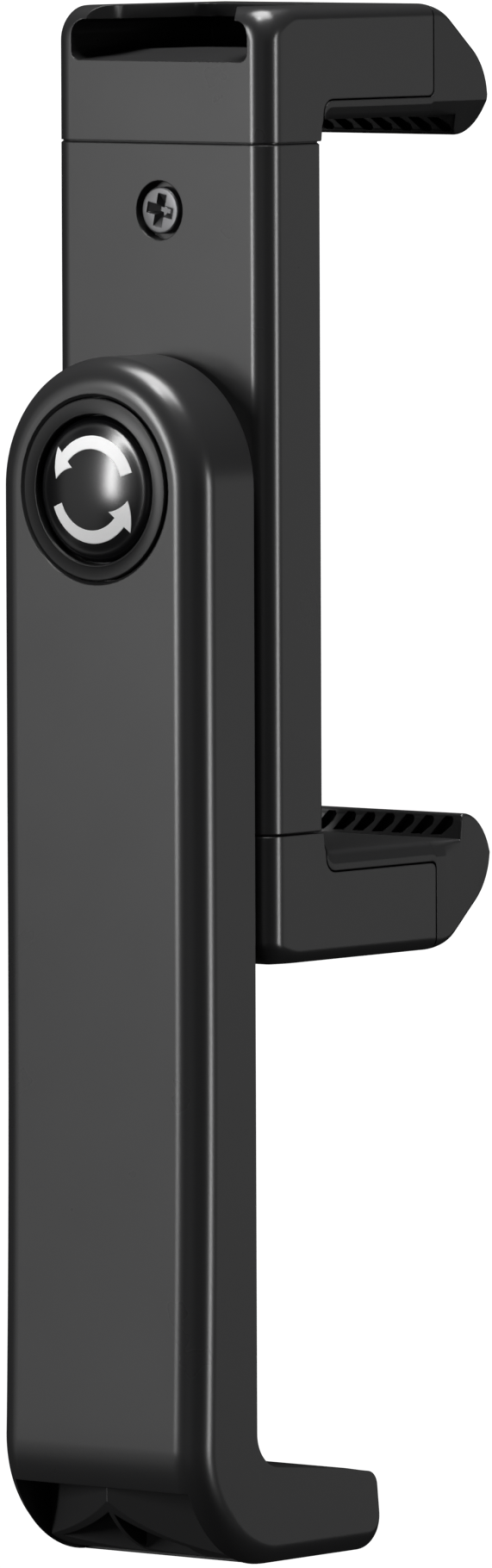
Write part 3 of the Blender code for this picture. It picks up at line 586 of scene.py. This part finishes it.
def make_front_cover(plastic):
    half = CAVITY_HALF - COVER_GAP
    outline = rounded_rectangle((-half, LOWER_SEAM + COVER_GAP), (half, UPPER_SEAM - COVER_GAP), 0.5)
    cover = make_mesh("front_cover_skin", prism(outline, "Y", CLAMP_FRONT - COVER_THICKNESS, CLAMP_FRONT))
    low, high = BACKREST_RECESS
    recess = prism(rounded_rectangle((-6.6, low), (6.6, high), 2.0), "Y", CLAMP_FRONT - 0.6, CLAMP_FRONT + 1)
    change(cover, [recess], "DIFFERENCE")
    face = CLAMP_FRONT - 0.75
    for height in FRONT_SCREWS:
        sink = [(0, 1.0), (0.95, 1.0), (0.95, face - 1.1), (1.95, face - 0.1), (1.95, 5.0), (0, 5.0)]
        change(cover, [turned(sink, (0, 0, height), "Y", 40)], "DIFFERENCE")
    finish_piece(cover, "clamp", plastic, ["front_cover"])


def make_backrest(rubber):
    """The rubber pad in the front cover's recess, with shallow grooves across it."""
    low, high = BACKREST_RECESS
    rings = []
    for proud, inset in ((-0.5, 0.1), (0.1, 0.1), (0.24, 0.16), (0.3, 0.3)):
        outline = rounded_rectangle((-6.6 + inset, low + inset), (6.6 - inset, high - inset), 2.0 - inset)
        rings.append([(x, CLAMP_FRONT + proud, z) for x, z in outline])
    pad = make_mesh("backrest_pad_skin", loft(rings))
    grooves = []
    for number in range(GROOVE_COUNT):
        z = low + GROOVE_PITCH * (number + 1)
        grooves.append(block((-5.4, CLAMP_FRONT + 0.1, z), (5.4, 6.0, z + 0.5)))
    change(pad, grooves, "DIFFERENCE")
    finish_piece(pad, "clamp", rubber, ["backrest_pad"])


def make_jaw_screw(steel):
    """A cross-head screw: a nearly flat head, just under the sleeve's back, with a tapering cross in it."""
    head = [(0, -3.4), (1.0, -3.4)] + arc((1.77, -3.22), 0.18, -90, 0, 5)
    head += [(1.95, -2.5), (0.95, -2.5), (0.95, 0.8), (0, 1.1)]
    screw = make_mesh("jaw_screw_skin", turned(head, (0, 0, JAW_SCREW_Z), "Y", 48))
    arms = []
    for turn in (-12, 78):
        c, s = math.cos(math.radians(turn)), math.sin(math.radians(turn))
        rings = []
        for y, wide, tall in ((-4.0, 1.5, 0.52), (-3.3, 1.35, 0.44), (-2.6, 0.5, 0.2)):
            corners = [(-wide, -tall), (wide, -tall), (wide, tall), (-wide, tall)]
            rings.append([(a * c - b * s, y, JAW_SCREW_Z + a * s + b * c) for a, b in corners])
        arms.append(loft(rings))
    change(screw, arms, "DIFFERENCE")
    finish_piece(screw, "clamp", steel, ["jaw_screw"])


# ---------------------------------------------------------------- jaws


def nose_curve(jaw, count):
    """The outside of the nose in (y, z): a rounded corner, a straight slope and a round tip."""
    outward, slope = jaw["side"], math.radians(jaw["slope"])
    drop = (jaw["tip_y"] - jaw["corner"]) * math.tan(slope)
    tip_radius = (abs(jaw["outer"] - jaw["tip"]) - drop) / math.tan((math.pi / 2 - slope) / 2)
    first = (jaw["corner"] - NOSE_RADIUS * math.tan(slope / 2), jaw["outer"] - outward * NOSE_RADIUS)
    second = (jaw["tip_y"] - tip_radius, jaw["tip"])
    bends = ((first, NOSE_RADIUS, 0.0, slope), (second, tip_radius, slope, math.pi / 2))
    points = []
    for (y, z), radius, start, end in bends:
        for step in range(41):
            turn = start + (end - start) * step / 40
            points.append((y + radius * math.sin(turn), z + outward * radius * math.cos(turn)))
    return spaced_evenly(points, count)


def spaced_evenly(points, count):
    """The same line with its points equally far apart."""
    lengths = [0.0]
    for before, after in zip(points, points[1:]):
        lengths.append(lengths[-1] + math.dist(before, after))
    spaced, index = [], 0
    for step in range(count):
        wanted = lengths[-1] * step / (count - 1)
        while index < len(points) - 2 and lengths[index + 1] < wanted:
            index += 1
        share = (wanted - lengths[index]) / (lengths[index + 1] - lengths[index])
        spaced.append(tuple(a + (b - a) * share for a, b in zip(points[index], points[index + 1])))
    return spaced


def nose_height(jaw, y):
    """How high the outside of a jaw lies at a place along it."""
    curve = nose_curve(jaw, 200)
    if y <= curve[0][0]:
        return jaw["outer"]
    ahead = next(index for index, point in enumerate(curve) if point[0] >= y)
    (y0, z0), (y1, z1) = curve[ahead - 1], curve[ahead]
    return z0 + (z1 - z0) * (y - y0) / (y1 - y0)


def ease(start, end, place):
    """A smooth step from 0 at start to 1 at end."""
    share = min(1.0, max(0.0, (place - start) / (end - start)))
    return share * share * (3 - 2 * share)


def corner_radius(jaw, y):
    """The outer rounding of a jaw: large at the back, small along the sides, least at the nose."""
    radius = jaw["back_corner"] + (JAW_EDGE - jaw["back_corner"]) * ease(*JAW_NARROWING, y)
    return radius + (NOSE_CORNER - JAW_EDGE) * ease(*NOSE_NARROWING, y)


def jaw_sections(jaw, steps=12):
    """Cross-sections of a jaw's hard part, from the rounded back to the end under the nose."""
    outward = jaw["side"]
    rings = []
    for step in range(steps + 1):
        turn = math.radians(90 * step / steps)
        y = CLAMP_BACK + CLAMP_EDGE * (1 - math.cos(turn))
        inset = CLAMP_EDGE * (1 - math.sin(turn))
        outer, inner = (y, jaw["outer"] - outward * inset), (y, jaw["seam"])
        radius = max(0.1, corner_radius(jaw, y) - inset)
        rings.append(section(outer, inner, CLAMP_HALF - inset, radius, steps))
    root = [(0.1 * step, jaw["seam"]) for step in range(-12, 32, 4)]
    root += [(CLAMP_FRONT - 0.1, jaw["seam"]), (CLAMP_FRONT, jaw["seam"] + outward * 0.1)]
    root += [(CLAMP_FRONT + 0.1, jaw["seam"] + outward * 1.2), (CLAMP_FRONT + 0.25, jaw["pad"])]
    fillet = arc((CLAMP_FRONT + 0.3 + ROOT_RADIUS, 0.0), ROOT_RADIUS, 180, 90, 6)
    root += [(y, jaw["under"] - outward * (ROOT_RADIUS - rise)) for y, rise in fillet]
    root += arc_to_end(JAW_HARD_END, jaw["under"], outward, 0.6)
    for y, inner in root:
        rings.append(section((y, nose_height(jaw, y)), (y, inner), CLAMP_HALF, corner_radius(jaw, y), steps))
    return rings


def arc_to_end(end, level, outward, radius):
    """The parting line's rounded corner, as (y, z) points at rising y."""
    points = []
    for step in range(6):
        turn = math.radians(85 * step / 5)
        y = end - radius + radius * math.sin(turn)
        points.append((y, level + outward * radius * (1 - math.cos(turn))))
    return points


def make_jaw(name, jaw, plastic, body, joined, removed):
    piece = make_mesh(f"{name}_skin", loft(jaw_sections(jaw)))
    change(piece, joined, "UNION")
    change(piece, removed, "DIFFERENCE")
    finish_piece(piece, body, plastic, [name])


def shoe_ring(y, low):
    """A cross-section of the shoe's slot, with smaller corners at its floor than at its roof."""
    floor_radius, roof_radius = SHOE_CORNERS
    ring = []
    for side, start in ((1, 0), (-1, 90)):
        centre = (side * (SHOE_HALF - roof_radius), SHOE_ROOF - roof_radius)
        ring += arc(centre, roof_radius, start, start + 90, 8)
    for side, start in ((-1, 180), (1, 270)):
        centre = (side * (SHOE_HALF - floor_radius), low + floor_radius)
        ring += arc(centre, floor_radius, start, start + 90, 8)
    return [(x, y, z) for x, z in ring]


def shoe_cuts():
    """The shoe's slot with its sloping sill, and the opening between the lips."""
    slot = [shoe_ring(-5.0, SHOE_SILL), shoe_ring(CLAMP_BACK, SHOE_SILL)]
    slot += [shoe_ring(SHOE_RAMP_END, SHOE_FLOOR), shoe_ring(SHOE_END, SHOE_FLOOR)]
    mouth = [(SHOE_MOUTH, -5.0), (SHOE_MOUTH, CLAMP_BACK)]
    mouth += curve_points((SHOE_MOUTH, CLAMP_BACK), (SHOE_MOUTH - 0.5, -2.0), (SHOE_OPENING, -1.6),
                          (SHOE_OPENING, 0.2), 10)[1:]
    mouth += arc((SHOE_OPENING - 1.5, SHOE_OPENING_END - 1.5), 1.5, 0, 90, 8)
    mouth += [(-x, y) for x, y in reversed(mouth)]
    opening = []
    for z, undercut in ((SHOE_ROOF - 0.5, 0.45), (UPPER["outer"] + 1, -0.25)):
        opening.append([(x, y + undercut * max(0.0, y) / SHOE_OPENING_END, z) for x, y in mouth])
    return [loft(slot), loft(opening)]


def boot_ring(jaw, outer, inner, corner, rounding, draft, steps=10):
    """A cross-section of the boot: rounded outside, creased along each side, then drafted and rounded."""
    outer, inner = Vector(outer), Vector(inner)
    length = (inner - outer).length
    inward = (inner - outer) / length
    crease_z = jaw["under"] - jaw["side"] * BOOT_STRIP
    rise = inner.y - outer.y
    crease = (crease_z - outer.y) / rise * length if abs(rise) > 1e-6 else 0.5 * length
    crease = min(max(crease, 0.35 * length), 0.9 * length)
    corner = min(corner, 0.85 * crease)
    rounding = min(rounding, 0.7 * (length - crease))
    draft = math.radians(draft)
    half = []
    for step in range(steps + 1):
        turn = math.radians(90 * step / steps)
        half.append((CLAMP_HALF - corner * (1 - math.sin(turn)), corner * (1 - math.cos(turn))))
    half.append((CLAMP_HALF, crease))
    upright = length - rounding * (1 - math.sin(draft)) - crease
    edge = CLAMP_HALF - math.tan(draft) * upright - rounding * math.cos(draft)
    for step in range(steps + 1):
        turn = draft + (math.pi / 2 - draft) * step / steps
        half.append((edge + rounding * math.cos(turn), length - rounding * (1 - math.sin(turn))))
    ring = [(x, *(outer + inward * along)) for x, along in half]
    return ring + [(-x, y, z) for x, y, z in reversed(ring)]


def boot_inside(jaw, start, count):
    """The boot's inner line in (y, z): the pad's face, the hook's wall, its crest and the way to the tip."""
    wall_from = count // 3
    line = [(start + (HOOK_WALL - start) * step / wall_from, jaw["pad"]) for step in range(wall_from)]
    rise = jaw["hook"] - jaw["pad"]
    line += [(HOOK_WALL + HOOK_LEAN * share, jaw["pad"] + rise * share) for share in (0.0, 0.25, 0.5, 0.75)]
    for turn in (0, 30, 60, 90):
        forward, down = 1 - math.cos(math.radians(turn)), 1 - math.sin(math.radians(turn))
        y = HOOK_WALL + HOOK_LEAN + CREST_RADIUS * forward
        line.append((y, jaw["hook"] + jaw["side"] * CREST_RADIUS * down))
    y, z = jaw["tip_y"], jaw["tip"]
    over_crest = (line[-1][0] + jaw["crest"], jaw["hook"])
    under_tip = (y, z - 0.38 * (z - jaw["hook"]))
    return line + curve_points(line[-1], over_crest, under_tip, (y, z), count - len(line) + 1)[1:]


def boot_sections(jaw):
    """Cross-sections of a rubber boot: a pad under the hard part, then the nose and its hooked tip."""
    outward = jaw["side"]
    under, start = jaw["under"] - outward * BOOT_GAP, JAW_HARD_END + BOOT_GAP
    root = CLAMP_FRONT + 0.3 + BOOT_GAP
    draft, nose_draft = jaw["drafts"]
    rings = []
    for y, rise in arc((root - BOOT_GAP + ROOT_RADIUS, 0.0), ROOT_RADIUS - BOOT_GAP, 180, 90, 8):
        below = jaw["under"] - outward * (ROOT_RADIUS - rise)
        climb = min(1.0, max(0.0, 1 - (y - root) / ROOT_CLIMB))
        above = jaw["pad"] - outward * ROOT_CLIMB * (1 - math.sqrt(1 - climb * climb))
        rings.append(boot_ring(jaw, (y, below), (y, above), 0.05, BOOT_ROUNDING, draft))
    rings.append(boot_ring(jaw, (start - 0.7, under), (start - 0.7, jaw["pad"]), 0.05, BOOT_ROUNDING, draft))
    for y, z in arc_to_end(start, under, outward, 0.6):
        rings.append(boot_ring(jaw, (y, z), (y, jaw["pad"]), 0.05, BOOT_ROUNDING, draft))
    curve = [(start + 0.01, nose_height(jaw, start + 0.01))]
    curve += [point for point in nose_curve(jaw, 56) if point[0] > start + 0.15]
    inner = boot_inside(jaw, start, len(curve))
    for behind, ahead in list(zip(curve, inner))[:-1]:
        share = ease(JAW_HARD_END, HOOK_WALL, ahead[0])
        rounding = BOOT_ROUNDING + (HOOK_ROUNDING - BOOT_ROUNDING) * share
        lean = draft + (nose_draft - draft) * share
        rings.append(boot_ring(jaw, behind, ahead, corner_radius(jaw, behind[0]), rounding, lean))
    return rings


def grip_slot(jaw, centre):
    """A slanting slot in the hook's inner wall, leaning to +X away from the pad face."""
    outward = jaw["side"]
    foot, head = jaw["pad"] - outward * 0.25, jaw["hook"] + outward * 0.3
    left = centre - SLOT_WIDTH / 2 - SLOT_LEAN / 2
    top = left + SLOT_LEAN
    outline = [(left, foot), (left + SLOT_WIDTH, foot)]
    for reach, climb in ((0.75, 0.55), (0.85, 0.85), (0.6, 1.0), (0.0, 1.0)):
        outline.append((top + reach * SLOT_WIDTH, foot + climb * (head - foot)))
    return prism(outline, "Y", HOOK_WALL - 0.6, HOOK_WALL + 1.3)


def make_boot(name, jaw, rubber, body):
    piece = make_mesh(f"{name}_skin", loft(boot_sections(jaw)))
    slots = [grip_slot(jaw, SLOT_PITCH * (number - (SLOT_COUNT - 1) / 2)) for number in range(SLOT_COUNT)]
    change(piece, slots, "DIFFERENCE")
    finish_piece(piece, body, rubber, [name], sharp=16)


# ---------------------------------------------------------------- materials


def node(tree, kind, **values):
    """A shader node with some of its inputs, or its own settings, given by name."""
    made = tree.nodes.new(kind)
    for key, value in values.items():
        if key in made.inputs:
            made.inputs[key].default_value = value
        else:
            setattr(made, key, value)
    return made


def surface(name, colour, roughness, metallic=0.0, grain=0.25, mottling=0.02, specular=0.5):
    """A procedural finish: a fine grain, uneven roughness and tone, and edges that catch the light."""
    made = bpy.data.materials.new(name)
    made.use_nodes = True
    tree = made.node_tree
    shader = tree.nodes["Principled BSDF"]
    shader.inputs["Metallic"].default_value = metallic
    shader.inputs["Specular IOR Level"].default_value = specular
    place = node(tree, "ShaderNodeTexCoord")
    fine = node(tree, "ShaderNodeTexNoise", Scale=1000 / GRAIN_SIZE, Detail=3.0, Roughness=0.6)
    broad = node(tree, "ShaderNodeTexNoise", Scale=90.0, Detail=4.0, Roughness=0.55)
    for texture in (fine, broad):
        tree.links.new(place.outputs["Object"], texture.inputs["Vector"])
    rough = node(tree, "ShaderNodeMapRange")
    rough.inputs["To Min"].default_value = roughness - mottling
    rough.inputs["To Max"].default_value = roughness + mottling
    tree.links.new(broad.outputs["Fac"], rough.inputs["Value"])
    tree.links.new(rough.outputs["Result"], shader.inputs["Roughness"])
    tone = node(tree, "ShaderNodeMix", data_type="RGBA")
    tone.inputs["A"].default_value = (*(c * (1 - TONE_CHANGE) for c in colour), 1)
    tone.inputs["B"].default_value = (*(c * (1 + TONE_CHANGE) for c in colour), 1)
    tree.links.new(broad.outputs["Fac"], tone.inputs["Factor"])
    tree.links.new(tone.outputs["Result"], shader.inputs["Base Color"])
    rounded = node(tree, "ShaderNodeBevel", samples=4)
    rounded.inputs["Radius"].default_value = LIT_EDGE * MM
    bump = node(tree, "ShaderNodeBump")
    bump.inputs["Strength"].default_value = grain
    bump.inputs["Distance"].default_value = GRAIN_DEPTH * MM
    tree.links.new(fine.outputs["Fac"], bump.inputs["Height"])
    tree.links.new(rounded.outputs["Normal"], bump.inputs["Normal"])
    tree.links.new(bump.outputs["Normal"], shader.inputs["Normal"])
    return made


# ---------------------------------------------------------------- studio


def outward_from(azimuth, elevation):
    """The direction from the object at two angles in radians, with azimuth from -Y towards +X."""
    level = math.cos(elevation)
    return Vector((math.sin(azimuth) * level, -math.cos(azimuth) * level, math.sin(elevation)))


def softbox(name, azimuth, elevation, distance, size, power):
    """A rectangular lamp that faces the object's middle, with angles in degrees and lengths in metres."""
    data = bpy.data.lights.new(name, "AREA")
    data.shape = "RECTANGLE"
    data.size, data.size_y = size
    data.energy = power
    lamp = bpy.data.objects.new(name, data)
    away = outward_from(math.radians(azimuth), math.radians(elevation))
    lamp.location = LIGHT_TARGET + away * distance
    lamp.rotation_mode = "QUATERNION"
    lamp.rotation_quaternion = away.to_track_quat("Z", "Y")
    lamp.visible_camera = False
    bpy.context.scene.collection.objects.link(lamp)


def make_world():
    """A pale backdrop for the camera, and a nearly dark world for everything else."""
    world = bpy.data.worlds.new("studio")
    bpy.context.scene.world = world
    world.use_nodes = True
    tree = world.node_tree
    background = tree.nodes["Background"]
    path = node(tree, "ShaderNodeLightPath")
    mix = node(tree, "ShaderNodeMix", data_type="RGBA")
    mix.inputs["A"].default_value = (WORLD_GLOW, WORLD_GLOW, WORLD_GLOW, 1)
    mix.inputs["B"].default_value = (BACKDROP, BACKDROP, BACKDROP, 1)
    tree.links.new(path.outputs["Is Camera Ray"], mix.inputs["Factor"])
    tree.links.new(mix.outputs["Result"], background.inputs["Color"])


def make_floor():
    """A pale floor that only the camera sees, evenly lit: it throws no light back and takes no shadow."""
    half = FLOOR_HALF
    mesh = bpy.data.meshes.new("floor")
    corners = [(-half, -half, 0), (half, -half, 0), (half, half, 0), (-half, half, 0)]
    mesh.from_pydata(corners, [], [(0, 1, 2, 3)])
    floor = bpy.data.objects.new("floor", mesh)
    floor.location.z = -FLOOR_DROP
    bpy.context.scene.collection.objects.link(floor)
    material = bpy.data.materials.new("pale_floor")
    material.use_nodes = True
    tree = material.node_tree
    glow = node(tree, "ShaderNodeEmission", Color=(1, 1, 1, 1), Strength=FLOOR_GLOW)
    tree.links.new(glow.outputs["Emission"], tree.nodes["Material Output"].inputs["Surface"])
    mesh.materials.append(material)
    floor.visible_diffuse = False
    floor.visible_glossy = False
    floor.visible_shadow = False


def make_camera():
    back = outward_from(CAMERA_AZIMUTH, CAMERA_ELEVATION)
    right = Vector((math.cos(CAMERA_AZIMUTH), math.sin(CAMERA_AZIMUTH), 0))
    up = back.cross(right)
    across = right * math.cos(CAMERA_ROLL) + up * math.sin(CAMERA_ROLL)
    above = up * math.cos(CAMERA_ROLL) - right * math.sin(CAMERA_ROLL)
    data = bpy.data.cameras.new("camera")
    data.lens = CAMERA_LENS
    data.sensor_width = 36.0
    camera = bpy.data.objects.new("camera", data)
    place = to_row(CAMERA_TARGET) + back * CAMERA_DISTANCE * MM
    turn = Matrix((across, above, back)).transposed().to_4x4()
    camera.matrix_world = Matrix.Translation(place) @ turn
    bpy.context.scene.collection.objects.link(camera)
    bpy.context.scene.camera = camera


def make_studio():
    make_world()
    make_floor()
    make_camera()
    softbox("strip_left", -25, 9, 0.9, (0.09, 0.42), 4.4)
    softbox("strip_right", 104, 0, 4.0, (0.4, 1.3), 46.0)
    softbox("fill_back", -46, -2, 1.1, (0.52, 0.7), 0.64)
    softbox("fill_side", 146, -2, 4.0, (2.2, 1.1), 4.9)
    softbox("fill_corner", 25, -4, 1.1, (0.5, 0.6), 0.12)
    softbox("top_spot", 16, 70, 0.9, (0.10, 0.10), 1.2)
    softbox("top_soft", 60, 88, 1.0, (0.6, 0.6), 17.0)
    view = bpy.context.scene.view_settings
    view.view_transform = "Standard"
    view.look = "None"


# ---------------------------------------------------------------- assembly


def dress_inner_parts(frame, finishes):
    """Gives every CAD node that is still shown the finish of its slot."""
    slots = {part["node"]: part["material_slot"] for part in frame["record"]["subparts"]}
    for name, part in frame["nodes"].items():
        if not part.hide_render:
            part.data.materials.clear()
            part.data.materials.append(finishes[slots[name]])


def make_upper_jaw(plastic):
    """The upper jaw, with a tongue and a plug inside the sleeve and a step that closes the seam."""
    seam = UPPER["seam"]
    half = CAVITY_HALF - COVER_GAP
    back, front = SLIDER_DEPTH
    tongue = block((-TONGUE_HALF, back, TONGUE_FOOT), (TONGUE_HALF, front, seam + 1))
    plug = block((-half, back - 0.05, PLUG_FOOT), (half, front + 0.05, seam + 1.2))
    step = prism(scaled_outline(*STEP_SCALE), "Z", UPPER_SEAM - 0.015, seam + 0.5)
    pilot = cylinder((0, 0, JAW_SCREW_Z), 1.05, "Y", -3.0, 1.2, 24)
    make_jaw("upper_jaw", UPPER, plastic, "clamp", [tongue, plug, step], [pilot, *shoe_cuts()])


def make_lower_jaw(plastic):
    """The lower jaw, with a frame that slides in the sleeve and notches for the springs' lower pins."""
    half = CAVITY_HALF - SLIDER_GAP
    back, front = SLIDER_DEPTH
    bars = [block((-half, back, LOWER["seam"] - 1), (half, front, CROSSBAR_TOP))]
    notches = []
    for side in (-1, 1):
        near, far = sorted((side * RAIL_INNER, side * half))
        spring = side * SPRING_X
        bars.append(block((near, back, CROSSBAR_TOP - 1), (far, front, SLIDER_TOP)))
        notches.append(block((spring - 1.2, -3.0, 62.5), (spring + 1.2, 3.0, 68.0)))
        notches.append(cylinder((spring, 0, LOWER_PIN_Z), PIN_RADIUS, "X", -2.1, 2.1, 24))
    make_jaw("lower_jaw", LOWER, plastic, "lower_jaw_slider", bars, notches)


def build():
    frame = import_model()
    plastic = surface("matte_black_plastic", (0.022, 0.022, 0.0225), 0.28)
    satin = surface("satin_black_plastic", (0.007, 0.007, 0.0073), 0.33, specular=0.24)
    gloss = surface("gloss_black_plastic", (0.004, 0.004, 0.0045), 0.2, grain=0.0, mottling=0.01)
    rubber = surface("black_rubber", (0.02, 0.02, 0.0205), 0.36, grain=0.35)
    black_steel = surface("black_steel", (0.12, 0.12, 0.124), 0.38, metallic=0.7, grain=0.1)
    spring_steel = surface("spring_steel", (0.5, 0.5, 0.52), 0.3, metallic=1.0, grain=0.1)
    brass = surface("brass", (0.62, 0.45, 0.2), 0.3, metallic=1.0, grain=0.1)
    white = surface("white_plastic", (0.95, 0.95, 0.95), 0.45, grain=0.05)
    finishes = {
        "black_plastic": plastic,
        "satin_plastic": satin,
        "gloss_plastic": gloss,
        "rubber": rubber,
        "black_steel": black_steel,
        "spring_steel": spring_steel,
        "brass": brass,
        "white_plastic": white,
    }
    make_arm(plastic)
    make_foot_core(plastic)
    make_cap(satin, gloss, white)
    make_clamp_body(plastic)
    make_front_cover(plastic)
    make_backrest(rubber)
    make_jaw_screw(black_steel)
    make_upper_jaw(plastic)
    make_lower_jaw(plastic)
    make_boot("upper_jaw_pad", UPPER, rubber, "clamp")
    make_boot("lower_jaw_pad", LOWER, rubber, "lower_jaw_slider")
    dress_inner_parts(frame, finishes)
    make_studio()
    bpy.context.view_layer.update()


build()
